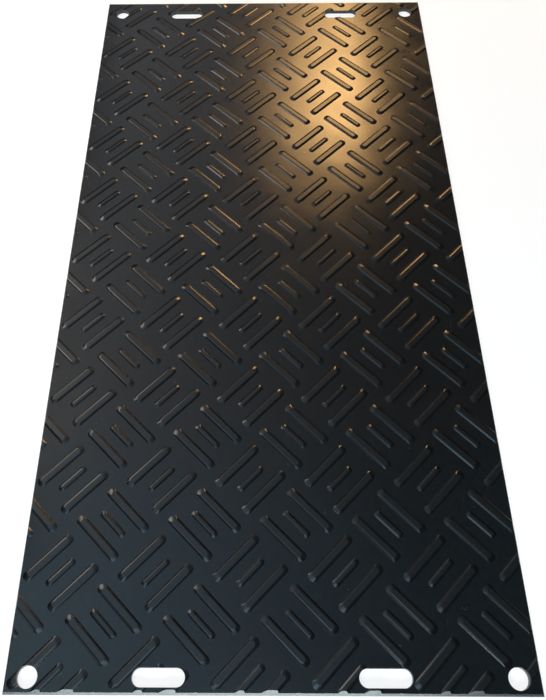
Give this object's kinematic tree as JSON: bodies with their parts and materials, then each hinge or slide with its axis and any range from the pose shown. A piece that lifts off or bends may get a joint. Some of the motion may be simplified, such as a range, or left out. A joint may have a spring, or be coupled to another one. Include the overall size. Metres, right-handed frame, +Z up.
{
  "type": "ground protection mat",
  "caption": "Rectangular black polyethylene ground mat with a raised slanting-bar tread on top, a flat underside, connector holes near the corners and hand slots at both ends.",
  "frame": {"origin": "centre of the flat underside", "axes": "+X across the mat, +Y along the mat, +Z up out of the tread face"},
  "size_m": [1.22, 2.44, 0.0162],
  "materials": {
    "black_polyethylene": "satin, pressed tread face with fine scuffs"
  },
  "bodies": {
    "root": {"mat_sheet": "black_polyethylene"}
  },
  "joints": []
}
